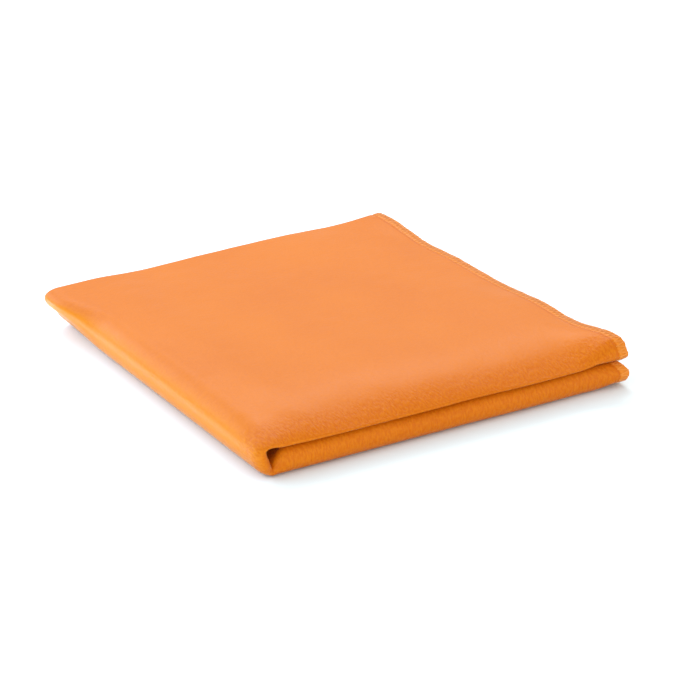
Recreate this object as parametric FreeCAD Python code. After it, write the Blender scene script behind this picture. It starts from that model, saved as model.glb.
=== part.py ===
"""A quick dry towel, folded into a square stack of eight plies.

One rectangular sheet of microfibre cloth is doubled along its length twice, which makes a strip
of four plies, and the strip is then doubled across its width at the main fold, on the left.

Frame, in millimetres: +Z up and z = 0 under the stack, +X along the front rolls from the main
fold to the sheet's long edges, +Y from the front rolls to the back. The origin is at the centre
of the stack's footprint.

The strip's cross-section is the same all along it. A ply's depth is measured from the strip's
outer face, so depth is z in the lower half, and the upper half is its mirror image. Between the
two halves the same cross-section turns through half a circle: that is the main fold.
"""

import FreeCAD, Part
import math
import os

# The sheet before it is folded
SHEET_WIDTH = 390.0  # across the main fold
SHEET_LENGTH = 800.0  # along the four plies
CLOTH_THICKNESS = 1.2

# The folded stack
STACK_HEIGHT = 22.0
MID_GAP = 0.6  # clear space between the lower and the upper half
PLIES = 4  # in each half
THIRD_PLY_SETBACK = 3.0  # from the back of the stack to the third ply's end
INNER_PLY_SETBACK = 1.0  # from the back of the stack to the inner ply's end

# The overlock edging: thread round the sheet's four edges
EDGING_WIDTH = 5.5
EDGING_LIP = 0.5  # thread beyond the cloth's cut edge
SQUEEZED_CLOTH = 0.6  # the cloth's thickness inside the thread
THREAD_CLEARANCE = 0.05

# Worked out from the above
half_cloth = CLOTH_THICKNESS / 2
strip_thickness = (STACK_HEIGHT - MID_GAP) / 2
ply_pitch = (strip_thickness - CLOTH_THICKNESS) / (PLIES - 1)
outer_depth = half_cloth
second_depth = outer_depth + ply_pitch
third_depth = second_depth + ply_pitch
inner_depth = third_depth + ply_pitch

mid_height = STACK_HEIGHT / 2
main_fold_radius = mid_height - half_cloth
straight_width = (SHEET_WIDTH - math.pi * main_fold_radius) / 2
stack_width = straight_width + mid_height
fold_start_x = mid_height - stack_width / 2
side_x = stack_width / 2
edging_start_x = side_x - EDGING_WIDTH

roll_radius = (inner_depth - outer_depth) / 2
roll_depth = (inner_depth + outer_depth) / 2
small_radius = ply_pitch / 2
back_fold_depth = outer_depth + small_radius
roll_reach = roll_radius + half_cloth
back_reach = small_radius + half_cloth
arcs_length = math.pi * (roll_radius + 2 * small_radius)
setbacks = 4 * roll_reach + 2 * back_reach + THIRD_PLY_SETBACK + INNER_PLY_SETBACK
stack_length = (SHEET_LENGTH - arcs_length + setbacks) / PLIES
roll_y = roll_reach - stack_length / 2
back_fold_y = stack_length / 2 - back_reach
third_end_y = stack_length / 2 - THIRD_PLY_SETBACK
inner_end_y = stack_length / 2 - INNER_PLY_SETBACK

FRONT = -1
BACK = 1


def point(y, depth):
    """A point of the strip's cross-section, in the plane where the main fold starts."""
    return FreeCAD.Vector(fold_start_x, y, depth)


def rectangle(start_y, end_y, depth, thickness):
    """The section of a flat ply."""
    low = depth - thickness / 2
    high = depth + thickness / 2
    corners = [point(start_y, low), point(end_y, low), point(end_y, high), point(start_y, high)]
    return Part.Face(Part.makePolygon(corners + corners[:1]))


def half_ring(centre_y, depth, radius, thickness, side):
    """The section of a fold: half a ring that bulges to the front or to the back."""
    arcs = []
    for r in (radius - thickness / 2, radius + thickness / 2):
        low = point(centre_y, depth - r)
        tip = point(centre_y + side * r, depth)
        high = point(centre_y, depth + r)
        arcs.append(Part.Arc(low, tip, high).toShape())
    ends = []
    for end in (0, -1):
        inner = arcs[0].Vertexes[end].Point
        outer = arcs[1].Vertexes[end].Point
        ends.append(Part.LineSegment(inner, outer).toShape())
    return Part.Face(Part.Wire(Part.__sortEdges__(arcs + ends)))


def fused(shapes):
    """Several touching shapes as one, with no seams left between them."""
    whole = shapes[0]
    if len(shapes) > 1:
        whole = whole.fuse(shapes[1:])
    return whole.removeSplitter()


def hemmed_ply(end_y, depth):
    """The section of a ply that ends at the back in a squeezed edge, inside its edging."""
    body = rectangle(roll_y, end_y - EDGING_WIDTH, depth, CLOTH_THICKNESS)
    edge = rectangle(end_y - EDGING_WIDTH, end_y - EDGING_LIP, depth, SQUEEZED_CLOTH)
    return fused([body, edge])


def end_edging(end_y, depth):
    """The section of the edging along one end of the sheet: a channel over the squeezed edge."""
    start_y = end_y - EDGING_WIDTH + THREAD_CLEARANCE
    band = rectangle(start_y, end_y, depth, CLOTH_THICKNESS)
    room_end_y = end_y - EDGING_LIP + THREAD_CLEARANCE
    room_thickness = SQUEEZED_CLOTH + 2 * THREAD_CLEARANCE
    room = rectangle(start_y, room_end_y, depth, room_thickness)
    return band.cut(room).removeSplitter()


def strip_sections(thickness, grown=0.0):
    """Each ply and fold of the strip by name, at one thickness all over, out to the sheet's ends."""
    third_end = third_end_y + grown
    inner_end = inner_end_y + grown
    return {
        "outer_ply": rectangle(roll_y, back_fold_y, outer_depth, thickness),
        "second_ply": rectangle(roll_y, back_fold_y, second_depth, thickness),
        "third_ply": rectangle(roll_y, third_end, third_depth, thickness),
        "inner_ply": rectangle(roll_y, inner_end, inner_depth, thickness),
        "front_roll": half_ring(roll_y, roll_depth, roll_radius, thickness, FRONT),
        "inner_roll": half_ring(roll_y, roll_depth, small_radius, thickness, FRONT),
        "back_fold": half_ring(back_fold_y, back_fold_depth, small_radius, thickness, BACK),
    }


def cloth_sections():
    """Each ply and fold as it is along the strip, where only the sheet's two ends are hemmed."""
    sections = strip_sections(CLOTH_THICKNESS)
    sections["third_ply"] = hemmed_ply(third_end_y, third_depth)
    sections["inner_ply"] = hemmed_ply(inner_end_y, inner_depth)
    return sections


def edging_sections():
    """The edging along the sheet's two ends, which lie between the plies at the back."""
    return {
        "third_ply_end_overlock": end_edging(third_end_y, third_depth),
        "inner_ply_end_overlock": end_edging(inner_end_y, inner_depth),
    }


def along_x(section, start_x, end_x):
    """A section drawn out along the strip, from one x to another."""
    moved = section.copy()
    moved.translate(FreeCAD.Vector(start_x - fold_start_x, 0, 0))
    return moved.extrude(FreeCAD.Vector(end_x - start_x, 0, 0))


def round_main_fold(section):
    """A section carried round the main fold, from the lower half to the upper."""
    centre = FreeCAD.Vector(fold_start_x, 0, mid_height)
    return section.revolve(centre, FreeCAD.Vector(0, 1, 0), 180)


def side_overlock():
    """The edging along a long side of the sheet, which follows every ply and fold of the strip."""
    bands = list(strip_sections(CLOTH_THICKNESS).values())
    room_thickness = SQUEEZED_CLOTH + 2 * THREAD_CLEARANCE
    rooms = list(strip_sections(room_thickness, THREAD_CLEARANCE - EDGING_LIP).values())
    start_x = edging_start_x + THREAD_CLEARANCE
    band = fused([along_x(section, start_x, side_x) for section in bands])
    room_end_x = side_x - EDGING_LIP + THREAD_CLEARANCE
    room = fused([along_x(section, start_x, room_end_x) for section in rooms])
    return band.cut(room).removeSplitter()


def half_cloths():
    """The cloth of the lower half by node name: each solid runs into the side edging, squeezed."""
    squeezed = strip_sections(SQUEEZED_CLOTH, -EDGING_LIP)
    solids = {}
    for name, section in cloth_sections().items():
        body = along_x(section, fold_start_x, edging_start_x)
        edge = along_x(squeezed[name], edging_start_x, side_x - EDGING_LIP)
        solids[name] = fused([body, edge])
    return solids


def lower_half():
    """Every solid of the lower half by name."""
    solids = half_cloths()
    for name, section in edging_sections().items():
        solids[name] = along_x(section, fold_start_x, edging_start_x)
    solids["side_overlock"] = side_overlock()
    return solids


def main_fold():
    """Every solid of the main fold by name."""
    sections = {**cloth_sections(), **edging_sections()}
    return {name: round_main_fold(section) for name, section in sections.items()}


def one_solid(shape):
    """The single solid that a shape holds."""
    assert len(shape.Solids) == 1 and shape.isValid()
    return shape.Solids[0]


def write(region, solids):
    """Writes one STEP file for each solid, named after its region of the towel."""
    for name, shape in solids.items():
        one_solid(shape).exportStep(f"parts/{region}_{name}.step")


def main():
    os.makedirs("parts", exist_ok=True)
    lower = lower_half()
    mirror_base = FreeCAD.Vector(0, 0, mid_height)
    up = FreeCAD.Vector(0, 0, 1)
    upper = {name: shape.mirror(mirror_base, up) for name, shape in lower.items()}
    write("lower", lower)
    write("upper", upper)
    write("main_fold", main_fold())
    print(f"stack {stack_width:.2f} x {stack_length:.2f} x {STACK_HEIGHT:.2f} mm")


main()
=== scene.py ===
"""A quick dry towel, folded into a square stack of eight plies: its looks, around the CAD frame.

The towel is one sheet of microfibre cloth. It is built here as one grid of points: columns run
across the sheet, round the main fold on the left, and rows run along it, through every ply and
roll. The grid is cut at the main fold into three pieces, because the two halves of the stack move
apart there, and each piece is thickened to a closed shell. The overlock threads lie on the same
grid. Lengths in this file are in millimetres until a mesh is made.
"""

import math

import bpy
import numpy as np
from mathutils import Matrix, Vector


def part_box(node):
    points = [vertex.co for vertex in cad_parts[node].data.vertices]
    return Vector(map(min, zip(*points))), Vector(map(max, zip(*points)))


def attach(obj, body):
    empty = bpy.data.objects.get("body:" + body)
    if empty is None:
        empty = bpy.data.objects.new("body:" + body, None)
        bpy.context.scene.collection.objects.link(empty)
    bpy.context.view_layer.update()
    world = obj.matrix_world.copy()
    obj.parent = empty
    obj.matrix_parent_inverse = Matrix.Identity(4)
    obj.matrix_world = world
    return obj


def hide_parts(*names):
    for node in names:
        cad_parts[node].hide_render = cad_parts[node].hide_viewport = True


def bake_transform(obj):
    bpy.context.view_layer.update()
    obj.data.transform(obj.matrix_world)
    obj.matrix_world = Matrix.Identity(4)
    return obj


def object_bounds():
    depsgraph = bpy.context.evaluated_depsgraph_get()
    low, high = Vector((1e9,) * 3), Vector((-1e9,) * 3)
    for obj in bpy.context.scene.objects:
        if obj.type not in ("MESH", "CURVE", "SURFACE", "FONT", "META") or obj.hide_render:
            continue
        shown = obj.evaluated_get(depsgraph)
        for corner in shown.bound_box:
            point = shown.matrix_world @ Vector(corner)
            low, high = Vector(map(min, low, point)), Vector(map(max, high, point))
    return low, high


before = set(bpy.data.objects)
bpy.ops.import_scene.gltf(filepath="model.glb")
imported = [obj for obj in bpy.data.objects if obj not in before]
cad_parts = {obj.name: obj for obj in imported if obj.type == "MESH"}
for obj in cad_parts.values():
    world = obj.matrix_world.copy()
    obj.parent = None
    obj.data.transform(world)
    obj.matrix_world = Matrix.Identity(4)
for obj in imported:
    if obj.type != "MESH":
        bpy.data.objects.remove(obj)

METRE = 1000.0
CAD_BOX = [list(corner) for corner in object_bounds()]


def cad_box(node):
    """A CAD node's lowest and highest corner in millimetres."""
    return [np.array(corner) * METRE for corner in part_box(node)]


# The folded stack, from the frame
low_corner, high_corner = [np.array(corner) * METRE for corner in CAD_BOX]
outer_low, outer_high = cad_box("lower_outer_ply")
SIDE_X = high_corner[0]
STACK_TOP = high_corner[2]
MID_Z = STACK_TOP / 2
FOLD_X = outer_low[0]
ROLL_Y = outer_low[1]
BACK_FOLD_Y = outer_high[1]
CLOTH = outer_high[2] - outer_low[2]
OUTER_Z = CLOTH / 2
INNER_Z = sum(cad_box("lower_inner_ply")[k][2] for k in (0, 1)) / 2
ROLL_RADIUS = (INNER_Z - OUTER_Z) / 2
SMALL_RADIUS = ROLL_RADIUS / 3
FOLD_RADIUS = MID_Z - OUTER_Z
THIRD_END_Y = cad_box("lower_third_ply_end_overlock")[1][1]
INNER_END_Y = cad_box("lower_inner_ply_end_overlock")[1][1]

# The edging
EDGING = 5.5
STITCH = 2.4
NEEDLE_LINE = 5.1
THREAD_WIDTH = 0.55
THREAD_HEIGHT = 0.13
BAND = 1.5  # the cloth's thickness under the looper threads
EDGE_ROUNDING = 0.6  # the cut edge is rounded off over this distance
THREAD_LIP = 0.3  # how far the looper threads stand out beyond the cut edge
NEEDLE_GROOVE = 0.42

# The main fold: the halves end at the cut. The hollow inside the fold is a wedge with its point down.
CUT_X = FOLD_X - 2.2
HOLLOW_LOW_X = CUT_X - 0.2
HOLLOW_LOW_Z = 4.8
HOLLOW_HIGH_Z = 13.9
HOLLOW_LOW_REACH = 3.8
HOLLOW_HIGH_REACH = 4.2
TURN_LOW_Z = 7.2

# The front rolls and the loose hem on the right
HEM_REACH = 42.0  # how far in the loose hem reaches
ROLL_SET_BACK = 0.8  # the upper roll lies behind the lower one
ROLL_TUCK = 4.0  # the lower roll's inner ply goes back into the hollow of the main fold

# The depth of each ply in its half, as a share
OUTER = 0.0
SECOND = 1 / 3
THIRD = 2 / 3
INNER = 1.0


def smooth(x, start, end):
    """0 at start, 1 at end, smooth between."""
    t = np.clip((x - start) / (end - start), 0.0, 1.0)
    return t * t * (3 - 2 * t)


def bump(x, centre, width):
    """A soft bump of height 1."""
    return np.exp(-(((x - centre) / width) ** 2))


def ripple(seed, x, y, longest, shortest, waves=7):
    """Smooth unevenness of about unit height: a few long waves in mixed directions."""
    draw = np.random.default_rng(seed)
    total = np.zeros(np.broadcast(x, y).shape)
    for _ in range(waves):
        length = longest * (shortest / longest) ** draw.random()
        angle = draw.random() * math.pi
        phase = draw.random() * 2 * math.pi
        total += np.sin((x * math.cos(angle) + y * math.sin(angle)) * 2 * math.pi / length + phase)
    return total / math.sqrt(waves)


def spaced(start, end, step, fine=None, reach=0.0, both=False):
    """Values from start to end about a step apart, finer within reach of start, or of both ends."""
    length = abs(end - start)
    fine = fine or step
    at = [0.0]
    while at[-1] < length:
        near = min(at[-1], length - at[-1]) if both else at[-1]
        share = min(1.0, near / reach) if reach else 1.0
        at.append(at[-1] + fine + (step - fine) * share)
    at = np.array(at) * length / at[-1]
    return start + np.sign(end - start) * at


# ---------------------------------------------------------------- the strip's cross-section

PLY_STEP = 2.6
HIDDEN_STEP = 5.0
EDGE_STEPS = np.array(
    [0.0, 0.12, 0.3, 0.6, 1.0, 1.7, 2.5, 3.4, 4.2, 4.8, 5.2, 5.6, 6.0, 6.6, 7.6, 9.0]
)  # from a cut edge inwards, past the edging
ROLL_ROWS = 21
SMALL_FOLD_ROWS = 9


def ply_rows(start, end, depth, step, hem=None):
    """Rows of one ply: (y, depth, front roll, inner roll, back fold) at each."""
    y = spaced(start, end, step, step / 4, 6.0, both=True)
    if hem == "start":
        y = np.concatenate([start + np.sign(end - start) * EDGE_STEPS, y[np.abs(y - start) > 10.0]])
    if hem == "end":
        y = np.concatenate([y[np.abs(y - end) > 10.0], end - np.sign(end - start) * EDGE_STEPS[::-1]])
    zero = np.zeros_like(y)
    return np.stack([y, zero + depth, zero, zero, zero], 1)


def turn_rows(y, depth_from, depth_to, column, count):
    """Rows of one fold, without its two ends."""
    angle = np.linspace(0, math.pi, count + 2)[1:-1]
    rows = np.zeros((count, 5))
    rows[:, 0] = y
    rows[:, 1] = depth_from + (depth_to - depth_from) * (1 - np.cos(angle)) / 2
    rows[:, column] = np.sin(angle)
    return rows


FRONT_ROLL, INNER_ROLL, BACK_FOLD = 2, 3, 4
section = [
    ply_rows(INNER_END_Y, ROLL_Y, INNER, HIDDEN_STEP, hem="start"),
    turn_rows(ROLL_Y, INNER, OUTER, FRONT_ROLL, ROLL_ROWS),
    ply_rows(ROLL_Y, BACK_FOLD_Y, OUTER, PLY_STEP),
    turn_rows(BACK_FOLD_Y, OUTER, SECOND, BACK_FOLD, SMALL_FOLD_ROWS),
    ply_rows(BACK_FOLD_Y, ROLL_Y, SECOND, HIDDEN_STEP),
    turn_rows(ROLL_Y, SECOND, THIRD, INNER_ROLL, SMALL_FOLD_ROWS),
    ply_rows(ROLL_Y, THIRD_END_Y, THIRD, HIDDEN_STEP, hem="end"),
]
CLOTH_NODES = [
    "inner_ply", "front_roll", "outer_ply", "back_fold", "second_ply", "inner_roll", "third_ply"
]
row_starts = np.cumsum([0] + [len(rows) for rows in section])
first_row = dict(zip(CLOTH_NODES, row_starts))
section = np.concatenate(section)
row_y, row_depth, in_front_roll, in_inner_roll, in_back_fold = section.T
rows_total = len(section)

# The length along the sheet at each row, from the first end
flat_y = row_y - ROLL_RADIUS * in_front_roll + SMALL_RADIUS * (in_back_fold - in_inner_roll)
flat_z = OUTER_Z + (INNER_Z - OUTER_Z) * row_depth
row_v = np.concatenate([[0.0], np.cumsum(np.hypot(np.diff(flat_y), np.diff(flat_z)))])
SHEET_LENGTH = row_v[-1]
NOSE_V = row_v[first_row["front_roll"] + ROLL_ROWS // 2]
end_distance = np.minimum(row_v, SHEET_LENGTH - row_v)


# ---------------------------------------------------------------- the shape of the stack

def front_skew(x):
    """The front edge lies a little askew."""
    return -1.6 * x / SIDE_X


def top_relief(x, y):
    """Height of the top ply above the flat top of the stack."""
    ends = smooth(-x, 68.0, 96.0) + smooth(x, 70.0, 93.0)
    front_drop = 5.7 - 3.4 * ends
    front = -front_drop * (np.clip(-y - 55.0, 0, None) / 40.0) ** 2.4
    left_drop = 1.9 * (1 - 0.7 * smooth(y, 60.0, 100.0))
    left = 0.45 * bump(x, -72.0, 12.0) - left_drop * smooth(-x, 62.0, 94.0) - 0.35 * bump(x, -44.0, 16.0)
    back = smooth(y, 55.0, 97.0)
    back_left = -1.1 * back * smooth(-x, 0.0, 60.0)
    back_right = back * (0.9 * smooth(x, -10.0, 50.0) + 1.3 * smooth(x, 55.0, 92.0))
    hem = smooth(x, 70.0, 94.0)
    hem_tip = 1.0 * hem * bump(y, 86.0, 14.0)
    hem_dip = -1.1 * hem * bump(y, -20.0, 20.0) - 0.5 * hem * bump(y, 45.0, 14.0)
    hem_dip = hem_dip - 1.2 * hem * bump(y, -57.0, 12.0)
    hem_end = 2.6 * hem * smooth(-y, 70.0, 90.0)
    inside = 0.30 * ripple(3, x, y, 150.0, 55.0)
    fine = 0.05 * ripple(4, x, y, 26.0, 11.0, waves=12)
    return front + left + back_left + back_right + hem_tip + hem_dip + hem_end + inside + fine


def bottom_relief(x, y):
    """Height of the bottom ply above the floor."""
    lift = 0.35 * smooth(x, 84.0, 90.0) + 0.8 * smooth(x, 80.0, 96.0) * bump(y, -95.0, 12.0)
    return lift + 0.05 + 0.05 * ripple(5, x, y, 40.0, 15.0)


def draw_in(x, y, z):
    """The back corner of the main fold: the upper plies stand out over the lower ones."""
    drawn = smooth(-x, 60.0, 92.0) * smooth(y, 50.0, 90.0)
    under = 1 - smooth(z, 5.0, 13.0)
    over = smooth(z, 7.5, 20.0)
    lifted = z + 0.1 * drawn * np.clip(TURN_LOW_Z - 0.4 - z, 0, None)
    return x + drawn * (1.2 * under - 9.0 * over), lifted


def middle(x, y):
    """Height of the plane where the two halves meet: it rises a little to the front."""
    uneven = 0.3 * ripple(6, x, y, 120.0, 50.0) * smooth(x, CUT_X, CUT_X + 25.0)
    return MID_Z + 1.1 * smooth(-y, 40.0, 95.0) + uneven


def hollow_width(y):
    """The hollow inside the main fold: it widens behind the front rolls, and closes further in."""
    return 1 + 3.0 * smooth(y, -97.0, -88.0) - 3.4 * smooth(y, -62.0, -40.0)


def half_surface(x, y, depth, upper):
    """Height of a point of a half: depth is 0 in the outer ply and 1 in the inner one."""
    curve = FOLD_RADIUS - np.sqrt(FOLD_RADIUS**2 - np.clip(FOLD_X - x, 0, None) ** 2)
    rest_gap = MID_Z - INNER_Z
    if upper:
        outer = STACK_TOP - OUTER_Z - curve + top_relief(x, y)
        closed = middle(x, y) + rest_gap
        hollow = 1 - smooth((x - CUT_X) / hollow_width(y), 0.0, HOLLOW_HIGH_REACH)
        inner = closed + (HOLLOW_HIGH_Z - closed) * hollow
    else:
        outer = OUTER_Z + curve + bottom_relief(x, y)
        closed = middle(x, y) - rest_gap
        reach = HOLLOW_LOW_REACH * hollow_width(y)
        hollow = (1 - np.clip((x - HOLLOW_LOW_X) / reach, 0, 1)) ** 1.6
        inner = closed + (HOLLOW_LOW_Z - closed) * hollow
    return outer + (inner - outer) * depth


def hem_offset(upper):
    """How far the long edge stands out past the side of the stack, at each row."""
    nose = (2.8 if upper else 3.6) * bump(row_v, NOSE_V + 1.0, 6.5)
    after = np.clip(row_v - NOSE_V - 4.0, 0, None)
    tail = 3.0 * (row_v > NOSE_V) * smooth(row_v, NOSE_V, NOSE_V + 5.0)
    fade = 1 - smooth(after, 4.0, 26.0 if upper else 12.0)
    ply_shift = np.interp(row_depth, [0, 1 / 3, 2 / 3, 1], [-0.3, -0.9, 0.2, -0.6])
    waves = 0.4 * ripple(11 if upper else 12, row_v, 0 * row_v, 60.0, 18.0)
    return np.maximum(nose, tail * fade) + ply_shift + waves


def row_places(x, roll, set_back=0.0):
    """The y of every row at columns x: the front roll stands out by roll, and may be set back."""
    return (
        row_y
        + set_back * smooth(-row_y, 40.0, 95.0)
        - roll * in_front_roll
        - SMALL_RADIUS * in_inner_roll
        + SMALL_RADIUS * in_back_fold
        + front_skew(x) * smooth(-row_y, -40.0, 96.0)
    )


def roll_reach(x):
    """How far the front roll stands out in front of its plies."""
    narrow = 0.14 * ROLL_RADIUS * (1 - smooth(x, CUT_X, CUT_X + 12.0))
    uneven = 0.35 * ripple(14, x, 0 * x, 70.0, 30.0)
    return ROLL_RADIUS + narrow + uneven + 0.8 * smooth(x, SIDE_X - 12, SIDE_X)


def half_grid(upper):
    """Points of one half: one column per x station, from the long edge to the cut."""
    edge = np.concatenate([EDGE_STEPS, np.arange(11.0, HEM_REACH, 2.2)])
    inner = spaced(CUT_X, SIDE_X - HEM_REACH, 2.6, 0.25, 14.0)[::-1]
    x = np.concatenate([SIDE_X - edge, inner])[:, None]
    x = x + hem_offset(upper) * smooth(x, SIDE_X - HEM_REACH, SIDE_X)
    if not upper:
        x = x + (HOLLOW_LOW_X - CUT_X) * row_depth * (1 - smooth(x, CUT_X, CUT_X + 20.0))
    tuck = ROLL_TUCK * (1 - smooth(x, CUT_X, CUT_X + 8.0)) * row_depth
    y = row_places(x, roll_reach(x), ROLL_SET_BACK if upper else tuck)
    z = half_surface(x, y, row_depth, upper)
    wave_seed = 20 if upper else 21
    hem = smooth(x, SIDE_X - 16.0, SIDE_X)
    loose = hem * (0.45 if upper else 0.3) * ripple(wave_seed, row_v, 0 * x, 55.0, 20.0)
    gathers = ripple(wave_seed + 2, row_v, 0 * x, 9.0, 5.0)
    pucker = 0.10 * smooth(x, SIDE_X - 8.0, SIDE_X - 3.0) * gathers
    z = z + loose * np.where(row_depth == OUTER, 0.35, 1.0) + pucker
    x, z = draw_in(x, y, z)
    return np.stack([x, y, z], 2)


def hollow_outline(t):
    """The innermost ply's way round the hollow of the main fold: one curve from cut to cut."""
    ways_x = [HOLLOW_LOW_X, CUT_X - 2.0, CUT_X - 6.2, CUT_X]
    ways_z = [HOLLOW_LOW_Z, HOLLOW_LOW_Z + 3.3, HOLLOW_HIGH_Z + 2.2, HOLLOW_HIGH_Z]
    shares = [(1 - t) ** 3, 3 * t * (1 - t) ** 2, 3 * t**2 * (1 - t), t**3]
    return sum(s * w for s, w in zip(shares, ways_x)), sum(s * w for s, w in zip(shares, ways_z))


def fold_grid():
    """Points of the main fold between the two cuts, lower to upper."""
    t = spaced(0.0, 1.0, 1 / 34, 0.008, 0.12, both=True)[1:-1][:, None]
    start = math.asin((FOLD_X - CUT_X) / FOLD_RADIUS)
    angle = start + t * (math.pi - 2 * start)
    outer_x = FOLD_X - FOLD_RADIUS * np.sin(angle)
    outer_z = MID_Z - FOLD_RADIUS * np.cos(angle)
    inner_x, inner_z = hollow_outline(t)
    above = smooth(t, 0.35, 1.0)
    tuck = ROLL_TUCK * (1 - smooth(t, 0.0, 0.3)) * row_depth
    y = row_places(outer_x, roll_reach(np.array([[CUT_X]])), ROLL_SET_BACK * above + tuck)
    inner_x = CUT_X + (inner_x - CUT_X) * np.minimum(hollow_width(row_y), 1.0)
    x = outer_x + (inner_x - outer_x) * row_depth
    below = 1 - smooth(t, 0.0, 0.5)
    outer_z = outer_z + top_relief(outer_x, y) * above + bottom_relief(outer_x, y) * below
    z = outer_z + (inner_z - outer_z) * row_depth
    x, z = draw_in(x, y, z)
    return np.stack([x, y, z], 2)


lower_points = half_grid(False)
upper_points = half_grid(True)[::-1]
fold_points = fold_grid()
grid = np.concatenate([lower_points, fold_points, upper_points])
columns_total = len(grid)
lower_cut = len(lower_points) - 1
upper_cut = len(lower_points) + len(fold_points)

# The length across the sheet at each column, from the lower long edge
outer_row = first_row["outer_ply"] + 20
across = np.linalg.norm(np.diff(grid[:, outer_row], axis=0), axis=1)
column_u = np.concatenate([[0.0], np.cumsum(across)])
SHEET_WIDTH = column_u[-1]
side_distance = np.minimum(column_u, SHEET_WIDTH - column_u)

along_u = np.gradient(grid, axis=0)
along_v = np.gradient(grid, axis=1)
normals = np.cross(along_v, along_u)
normals /= np.linalg.norm(normals, axis=2, keepdims=True)


def edge_profile(distance):
    """The cloth's thickness at a distance from its edge: rounded, and grooved at the needle line."""
    rounded = np.sqrt(np.clip(1 - (1 - np.clip(distance / EDGE_ROUNDING, 0, 1)) ** 2, 0.03, 1))
    band = BAND - 0.3 * smooth(distance, 3.0, 5.0)
    groove = NEEDLE_GROOVE * bump(distance, EDGING - 0.1, 0.45)
    inside = smooth(distance, EDGING - 0.3, EDGING + 1.2)
    return (band * (1 - inside) + CLOTH * inside - groove) * rounded


thickness = np.minimum(edge_profile(side_distance)[:, None], edge_profile(end_distance)[None, :])


# ---------------------------------------------------------------- meshes

def add_mesh(name, vertices, faces, uv, sharp_lines):
    """A smooth-shaded mesh object from points in millimetres, with sharp edges along some lines."""
    mesh = bpy.data.meshes.new(name)
    mesh.from_pydata((vertices / METRE).tolist(), [], faces.tolist())
    mesh.polygons.foreach_set("use_smooth", np.ones(len(mesh.polygons), bool))
    layer = mesh.uv_layers.new(name="flat_sheet")
    corners = np.zeros(len(mesh.loops), np.int32)
    mesh.loops.foreach_get("vertex_index", corners)
    layer.data.foreach_set("uv", (uv[corners] / METRE).astype(np.float32).ravel())
    on_line = np.zeros(len(vertices), bool)
    on_line[np.concatenate(sharp_lines)] = True
    pairs = np.zeros(len(mesh.edges) * 2, np.int32)
    mesh.edges.foreach_get("vertices", pairs)
    sharp = on_line[pairs.reshape(-1, 2)].all(1)
    mesh.attributes.new("sharp_edge", "BOOLEAN", "EDGE").data.foreach_set("value", sharp)
    mesh.update()
    made = bpy.data.objects.new(name, mesh)
    bpy.context.scene.collection.objects.link(made)
    return made


def cloth_shell(name, first, last):
    """A closed shell of cloth between two columns of the grid, with sharp rims at the cuts."""
    columns = slice(first, last + 1)
    middle_points = grid[columns]
    offset = normals[columns] * thickness[columns, :, None] / 2
    count, rows = middle_points.shape[:2]
    side = count * rows  # the number of vertices on each face of the cloth
    vertices = np.concatenate([middle_points + offset, middle_points - offset]).reshape(-1, 3)
    index = np.arange(side).reshape(count, rows)
    a, b = index[:-1, :-1], index[1:, :-1]
    c, d = index[1:, 1:], index[:-1, 1:]
    outer_faces = np.stack([a, d, c, b], 2).reshape(-1, 4)
    inner_faces = np.stack([a, b, c, d], 2).reshape(-1, 4) + side
    ring = np.concatenate([index[:-1, 0], index[-1, :-1], index[:0:-1, -1], index[0, :0:-1]])
    following = np.roll(ring, -1)
    rim = np.stack([ring, following, following + side, ring + side], 1)
    faces = np.concatenate([outer_faces, inner_faces, rim])
    uv = np.stack(np.broadcast_arrays(column_u[columns, None], row_v), 2).reshape(-1, 2)
    sharp_lines = []
    if first > 0:
        sharp_lines += [index[0], index[0] + side]
    if last < columns_total - 1:
        sharp_lines += [index[-1], index[-1] + side]
    return add_mesh(name, vertices, faces, np.concatenate([uv, uv]), sharp_lines)


lower_cloth = cloth_shell("lower_half_cloth", 0, lower_cut)
fold_cloth = cloth_shell("main_fold_cloth", lower_cut, upper_cut)
upper_cloth = cloth_shell("upper_half_cloth", upper_cut, columns_total - 1)


# ---------------------------------------------------------------- the overlock threads

def on_grid(field, u, v):
    """A field of the grid at lengths u across and v along the sheet."""
    i = np.interp(u, column_u, np.arange(columns_total))
    j = np.interp(v, row_v, np.arange(rows_total))
    i0 = np.minimum(i.astype(int), columns_total - 2)
    j0 = np.minimum(j.astype(int), rows_total - 2)
    a, b = (i - i0)[:, None], (j - j0)[:, None]
    low = field[i0, j0] * (1 - b) + field[i0, j0 + 1] * b
    high = field[i0 + 1, j0] * (1 - b) + field[i0 + 1, j0 + 1] * b
    return low * (1 - a) + high * a


def sheet_place(edge, along, inward):
    """(u, v) at a distance along one of the sheet's edges and a distance in from it."""
    return {
        "lower side": (inward, along),
        "upper side": (SHEET_WIDTH - inward, along),
        "inner end": (along, inward),
        "third end": (along, SHEET_LENGTH - inward),
    }[edge]


def thread_line(edge, along, inward, lift, face):
    """Points of a thread on one face of the cloth, and the way up from the cloth there."""
    u, v = sheet_place(edge, along, inward)
    up = on_grid(normals, u, v) * face
    up /= np.linalg.norm(up, axis=1, keepdims=True)
    centre = on_grid(grid, u, v)
    out_from = on_grid(grid, *sheet_place(edge, along, 0 * inward + EDGE_ROUNDING))
    out_to = on_grid(grid, *sheet_place(edge, along, 0 * inward))
    outwards = (out_to - out_from) / EDGE_ROUNDING
    beyond = np.clip(THREAD_LIP - inward, 0, None)[:, None] * outwards
    raised = edge_profile(np.clip(inward, 0, None)) / 2 + lift
    return centre + beyond + up * raised[:, None], up


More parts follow.
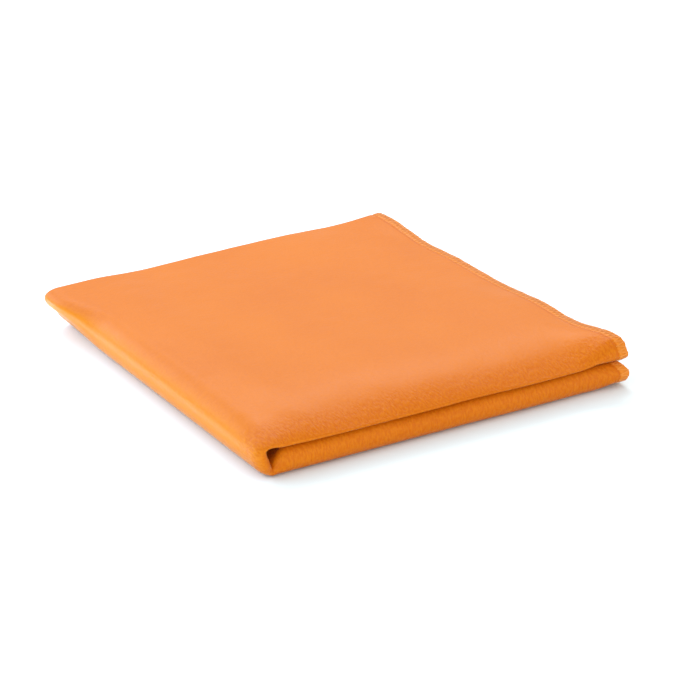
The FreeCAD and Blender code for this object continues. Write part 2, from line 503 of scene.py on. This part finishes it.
def tube(centres, ups, width, height):
    """Vertices, faces and lengths of a closed four-sided thread along a line."""
    ahead = np.gradient(centres, axis=0)
    ahead /= np.linalg.norm(ahead, axis=1, keepdims=True)
    across = np.cross(ahead, ups)
    across /= np.linalg.norm(across, axis=1, keepdims=True)
    sides = [across * width / 2, ups * height / 2, -across * width / 2, -ups * height / 2]
    vertices = np.stack([centres + side for side in sides], 1).reshape(-1, 3)
    ring = np.arange(len(centres) * 4).reshape(-1, 4)
    following = np.roll(ring, -1, 1)
    walls = np.stack([ring[:-1], following[:-1], following[1:], ring[1:]], 2).reshape(-1, 4)
    caps = np.stack([ring[0, ::-1], ring[-1]])
    along = np.concatenate([[0.0], np.cumsum(np.linalg.norm(np.diff(centres, axis=0), axis=1))])
    uv = np.stack(np.broadcast_arrays(along[:, None], np.arange(4) / 4), 2).reshape(-1, 2)
    return vertices, np.concatenate([walls, caps]), uv


def looper_line(edge, start, end, face):
    """A looper thread: from the needle line to the sheet's edge and back, once for each stitch."""
    count = max(1, round((end - start) / STITCH))
    turn = np.linspace(0, 1, 6)[:-1]
    shares = (np.arange(2 * count)[:, None] + turn).ravel() / 2
    there = 2 * np.abs(shares - np.floor(shares + 0.5))
    inward = NEEDLE_LINE * (1 - there)
    along = start + (end - start) * shares / count
    return thread_line(edge, along, inward, 0.3 * THREAD_HEIGHT, face)


def needle_line(edge, start, end):
    """The needle thread: straight stitches that dip into the cloth at every needle hole."""
    count = max(1, round((end - start) / STITCH))
    turn = np.array([0.0, 0.12, 0.3, 0.7, 0.88])
    shares = (np.arange(count)[:, None] + turn).ravel()
    lift = np.tile([-0.45, -0.05, 0.12, 0.12, -0.05], count)
    along = start + (end - start) * shares / count
    return thread_line(edge, along, 0 * along + NEEDLE_LINE + 0.35, lift, 1)


def thread_piece(name, lines):
    """One object that holds one thread's runs in a region of the towel."""
    tubes = [tube(*line, THREAD_WIDTH, THREAD_HEIGHT) for line in lines]
    starts = np.cumsum([0] + [len(vertices) for vertices, _, _ in tubes[:-1]])
    vertices = np.concatenate([vertices for vertices, _, _ in tubes])
    faces = np.concatenate([faces + start for (_, faces, _), start in zip(tubes, starts)])
    uv = np.concatenate([uv for _, _, uv in tubes])
    thread_sides = np.arange(0, len(vertices), 2)
    return add_mesh(name, vertices, faces, uv, [thread_sides])


def region_threads(region, first, last):
    """The needle thread and the two looper threads of one region."""
    runs = [(end, column_u[first], column_u[last]) for end in ("inner end", "third end")]
    if region == "lower_half":
        runs.append(("lower side", 0.0, SHEET_LENGTH))
    if region == "upper_half":
        runs.append(("upper side", 0.0, SHEET_LENGTH))
    return [
        thread_piece(f"{region}_needle_thread", [needle_line(*run) for run in runs]),
        thread_piece(f"{region}_outer_looper_thread", [looper_line(*run, 1) for run in runs]),
        thread_piece(f"{region}_inner_looper_thread", [looper_line(*run, -1) for run in runs]),
    ]


lower_threads = region_threads("lower_half", 0, lower_cut)
fold_threads = region_threads("main_fold", lower_cut, upper_cut)
upper_threads = region_threads("upper_half", upper_cut, columns_total - 1)


# ---------------------------------------------------------------- materials

class Graph:
    """Builds a material's node tree a node at a time."""

    def __init__(self, name):
        self.material = bpy.data.materials.new(name)
        self.material.use_nodes = True
        self.tree = self.material.node_tree
        self.shader = self.tree.nodes["Principled BSDF"]

    def feed(self, socket, value):
        """Joins a socket to another node's output, or sets it."""
        if isinstance(value, bpy.types.NodeSocket):
            self.tree.links.new(value, socket)
        else:
            socket.default_value = value

    def node(self, kind, inputs, output=0, **settings):
        """A new node's output, given its settings and its inputs by index or name."""
        made = self.tree.nodes.new(kind)
        for key, value in settings.items():
            setattr(made, key, value)
        for key, value in inputs.items():
            self.feed(made.inputs[key], value)
        return made.outputs[output]

    def math(self, operation, a, b=0.0, c=0.0):
        """A sum worked out at every point."""
        return self.node("ShaderNodeMath", {0: a, 1: b, 2: c}, operation=operation)

    def uv_parts(self, layer):
        """A UV layer's two lengths in millimetres."""
        vector = self.node("ShaderNodeUVMap", {}, uv_map=layer)
        scaled = self.node("ShaderNodeVectorMath", {0: vector, 3: METRE}, operation="SCALE")
        parts = self.tree.nodes.new("ShaderNodeSeparateXYZ")
        self.tree.links.new(scaled, parts.inputs[0])
        return parts.outputs[0], parts.outputs[1]

    def noise(self, u, v, size_u, size_v, detail=2.0, roughness=0.5):
        """Noise whose features are size_u by size_v millimetres."""
        place = self.node("ShaderNodeCombineXYZ", {
            0: self.math("DIVIDE", u, size_u),
            1: self.math("DIVIDE", v, size_v),
        })
        return self.node("ShaderNodeTexNoise", {
            "Vector": place,
            "Scale": 1.0,
            "Detail": detail,
            "Roughness": roughness,
        })

    def ramp(self, value, low, high, to_low=0.0, to_high=1.0):
        """A smooth step of a value from to_low to to_high."""
        return self.node("ShaderNodeMapRange", {
            0: value, 1: low, 2: high, 3: to_low, 4: to_high,
        }, interpolation_type="SMOOTHSTEP")

    def mix(self, share, a, b):
        """A colour between two others: a where the share is 0, b where it is 1."""
        return self.node("ShaderNodeMix", {0: share, 6: a, 7: b}, output=2, data_type="RGBA")


CLOTH_COLOUR = (0.570, 0.152, 0.0030, 1)
WORN_COLOUR = (0.660, 0.178, 0.0070, 1)
# DEEP_COLOUR is the darker tone of the nap and the roll streaks, and also the painted shade along the
# needle-line groove.
DEEP_COLOUR = (0.520, 0.108, 0.0020, 1)
THREAD_COLOUR = (0.800, 0.275, 0.0380, 1)
THREAD_DARK = (0.700, 0.215, 0.0200, 1)
HALO_TINT = (1.0, 0.95, 0.78, 1)


def cloth_material():
    """Sueded orange microfibre: a short soft nap, brushed at the rolls and pressed at the hem, with
    painted shade along the needle-line groove.
    """
    g = Graph("microfibre")
    u, v = g.uv_parts("flat_sheet")
    from_side = g.math("MINIMUM", u, g.math("SUBTRACT", SHEET_WIDTH, u))
    from_end = g.math("MINIMUM", v, g.math("SUBTRACT", SHEET_LENGTH, v))
    from_edge = g.math("MINIMUM", from_side, from_end)
    from_nose = g.math("ABSOLUTE", g.math("SUBTRACT", v, NOSE_V))

    cloud = g.noise(u, v, 45.0, 60.0, 2.0)
    nap = g.noise(u, v, 1.7, 2.1, 3.0, 0.6)
    fibre = g.noise(u, v, 0.42, 0.55, 2.0, 0.6)
    streak = g.noise(u, v, 0.95, 2.4, 3.0, 0.6)
    opened = g.ramp(from_nose, 7.0, 24.0, 1.0, 0.0)
    # Painted shade: a darker line along the needle-line groove, standing in for the shade that falls in
    # it.
    from_needle = g.math("ABSOLUTE", g.math("SUBTRACT", from_edge, NEEDLE_LINE + 0.5))
    groove = g.ramp(from_needle, 0.2, 0.9, 1.0, 0.0)

    tone = g.math("MULTIPLY_ADD", cloud, 0.35, 0.05)
    tone = g.math("MULTIPLY_ADD", nap, 0.45, tone)
    tone = g.math("MULTIPLY_ADD", fibre, 0.25, tone)
    brushed = g.mix(g.ramp(tone, 0.30, 0.75), DEEP_COLOUR, WORN_COLOUR)
    colour = g.mix(0.45, CLOTH_COLOUR, brushed)
    streak_dark = g.math("MULTIPLY", g.ramp(streak, 0.40, 0.60, 0.70, 0.0), opened)
    colour = g.mix(streak_dark, colour, DEEP_COLOUR)
    # Painted shade along the needle-line groove.
    colour = g.mix(g.math("MULTIPLY", groove, 0.5), colour, DEEP_COLOUR)
    under_thread = g.ramp(from_edge, 4.2, 5.2, 0.9, 0.0)
    g.feed(g.shader.inputs["Base Color"], g.mix(under_thread, colour, THREAD_DARK))
    g.feed(g.shader.inputs["Roughness"], g.ramp(nap, 0.3, 0.7, 0.30, 0.38))

    brushed_height = g.math("MULTIPLY", g.math("SUBTRACT", streak, 0.5), opened)
    height = g.math("MULTIPLY_ADD", brushed_height, 0.60, g.math("MULTIPLY", nap, 0.13))
    height = g.math("MULTIPLY_ADD", fibre, 0.04, height)
    bumped = g.node("ShaderNodeBump", {"Height": height, "Strength": 0.8, "Distance": 1 / METRE})
    g.feed(g.shader.inputs["Normal"], bumped)
    g.shader.inputs["Specular IOR Level"].default_value = 0.09
    g.shader.inputs["Specular Tint"].default_value = HALO_TINT
    g.shader.inputs["Sheen Weight"].default_value = 0.20
    g.shader.inputs["Sheen Roughness"].default_value = 0.22
    g.shader.inputs["Sheen Tint"].default_value = HALO_TINT
    return g.material


def thread_material():
    """Textured polyester thread, dyed to match: twisted filaments with a slight gloss."""
    g = Graph("overlock_thread")
    along, around = g.uv_parts("flat_sheet")
    twist = g.math("MULTIPLY_ADD", around, 1 / METRE, g.math("DIVIDE", along, 0.9))
    strand = g.math("SINE", g.math("MULTIPLY", twist, 2 * math.pi * 2))
    fuzz = g.noise(along, around, 0.35, 300.0, 2.0, 0.6)
    dye = g.noise(along, around, 9.0, 4000.0, 2.0, 0.5)
    shade = g.math("MULTIPLY_ADD", strand, 0.22, g.math("MULTIPLY_ADD", dye, 0.6, 0.25))
    g.feed(g.shader.inputs["Base Color"], g.mix(g.ramp(shade, 0.1, 0.9), THREAD_DARK, THREAD_COLOUR))
    g.feed(g.shader.inputs["Roughness"], g.ramp(fuzz, 0.3, 0.7, 0.34, 0.44))
    height = g.math("MULTIPLY_ADD", strand, 0.5, fuzz)
    bumped = g.node("ShaderNodeBump", {"Height": height, "Strength": 0.5, "Distance": 0.1 / METRE})
    g.feed(g.shader.inputs["Normal"], bumped)
    g.shader.inputs["Specular IOR Level"].default_value = 0.15
    g.shader.inputs["Sheen Weight"].default_value = 0.26
    g.shader.inputs["Sheen Roughness"].default_value = 0.35
    g.shader.inputs["Sheen Tint"].default_value = HALO_TINT
    return g.material


def finish_with(pieces, material):
    """Gives pieces their material."""
    for piece in pieces:
        piece.data.materials.append(material)


finish_with([lower_cloth, fold_cloth, upper_cloth], cloth_material())
finish_with(lower_threads + fold_threads + upper_threads, thread_material())


# ---------------------------------------------------------------- riding and standing for CAD nodes

END_NODES = ["third_ply_end_overlock", "inner_ply_end_overlock"]
SIDE_NODES = END_NODES + ["side_overlock"]


def stand_for(pieces, region, nodes):
    """Hides a region's CAD nodes, which the pieces are shown for."""
    for piece in pieces:
        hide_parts(*[f"{region}_{name}" for name in nodes])


stand_for([lower_cloth], "lower", CLOTH_NODES)
stand_for([upper_cloth], "upper", CLOTH_NODES)
stand_for([fold_cloth], "main_fold", CLOTH_NODES)
stand_for(lower_threads, "lower", SIDE_NODES)
stand_for(upper_threads, "upper", SIDE_NODES)
stand_for(fold_threads, "main_fold", END_NODES)

for piece in [lower_cloth, *lower_threads]:
    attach(piece, "lower_half")
for piece in [upper_cloth, *upper_threads]:
    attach(piece, "upper_half")
for piece in [fold_cloth, *fold_threads]:
    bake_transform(piece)


# ---------------------------------------------------------------- studio

def camera():
    """A camera in front and to the left, a little above the towel."""
    azimuth, elevation, distance = math.radians(-31.70), math.radians(23.35), 0.9456
    back = Vector((
        math.sin(azimuth) * math.cos(elevation),
        -math.cos(azimuth) * math.cos(elevation),
        math.sin(elevation),
    ))
    data = bpy.data.cameras.new("camera")
    data.lens = 102.9
    data.sensor_width = 36.0
    data.shift_x = 0.0326
    data.shift_y = 0.0076
    data.clip_end = 50.0
    made = bpy.data.objects.new("camera", data)
    made.location = back * distance
    made.rotation_euler = back.to_track_quat("Z", "Y").to_euler()
    bpy.context.scene.collection.objects.link(made)
    bpy.context.scene.camera = made


def floor():
    """A pale floor."""
    size = 6.0
    corners = [(-size, -size, 0), (size, -size, 0), (size, size, 0), (-size, size, 0)]
    mesh = bpy.data.meshes.new("floor")
    mesh.from_pydata(corners, [], [(0, 1, 2, 3)])
    made = bpy.data.objects.new("floor", mesh)
    bpy.context.scene.collection.objects.link(made)
    material = bpy.data.materials.new("floor")
    material.use_nodes = True
    shader = material.node_tree.nodes["Principled BSDF"]
    shader.inputs["Base Color"].default_value = (0.78, 0.885, 0.915, 1)
    shader.inputs["Roughness"].default_value = 0.9
    mesh.materials.append(material)
    return made


def area_light(name, place, aim, size, power):
    """A soft rectangular light, which the camera doesn't see."""
    data = bpy.data.lights.new(name, "AREA")
    data.shape = "RECTANGLE"
    data.size, data.size_y = size
    data.energy = power
    made = bpy.data.objects.new(name, data)
    made.location = place
    made.rotation_euler = (Vector(place) - Vector(aim)).to_track_quat("Z", "Y").to_euler()
    made.visible_camera = False
    bpy.context.scene.collection.objects.link(made)
    return made


def from_azimuth(azimuth, elevation, distance):
    """A place seen from the origin: the azimuth is turned from the back towards the right."""
    azimuth, elevation = math.radians(azimuth), math.radians(elevation)
    level = distance * math.cos(elevation)
    return (level * math.sin(azimuth), level * math.cos(azimuth), distance * math.sin(elevation))


def light_only(light, lit):
    """Lets a light reach only some objects."""
    receivers = bpy.data.collections.new(f"lit_by_{light.name}")
    for piece in lit:
        receivers.objects.link(piece)
    light.light_linking.receiver_collection = receivers


def studio(ground, cloths):
    """A white room: two soft lights behind the towel, two in front, and two on the floor only."""
    world = bpy.data.worlds.new("studio")
    bpy.context.scene.world = world
    world.use_nodes = True
    background = world.node_tree.nodes["Background"]
    background.inputs["Color"].default_value = (1, 1, 1, 1)
    background.inputs["Strength"].default_value = 1.04
    area_light("key", from_azimuth(25.0, 42.0, 1.8), (0, 0, 0), (1.4, 0.45), 15.0)
    rim = area_light("rim", from_azimuth(-26.0, 26.0, 1.6), (0, 0, 0.02), (1.0, 1.0), 12.0)
    rim.data.color = (0.80, 1.0, 1.40)
    side = area_light("side", from_azimuth(-142.0, 12.0, 1.4), (-0.09, -0.09, 0.01), (0.6, 0.3), 2.6)
    light_only(side, cloths)
    area_light("fill", from_azimuth(155.0, 12.0, 1.5), (0, 0, 0.01), (1.2, 0.3), 4.0)
    panel = area_light("panel", (-0.235, 0.0, 0.003), (-0.235, 0.0, -1), (0.25, 0.48), 2.0)
    panel.data.color = (0.36, 0.72, 1.0)
    wash = area_light("floor_wash", (-0.75, 0.15, 0.5), (-0.25, 0, 0), (0.5, 0.5), 3.0)
    light_only(panel, [ground])
    light_only(wash, [ground])
    bpy.context.scene.view_settings.view_transform = "Standard"


camera()
studio(floor(), [lower_cloth, fold_cloth, upper_cloth])

bpy.context.view_layer.update()
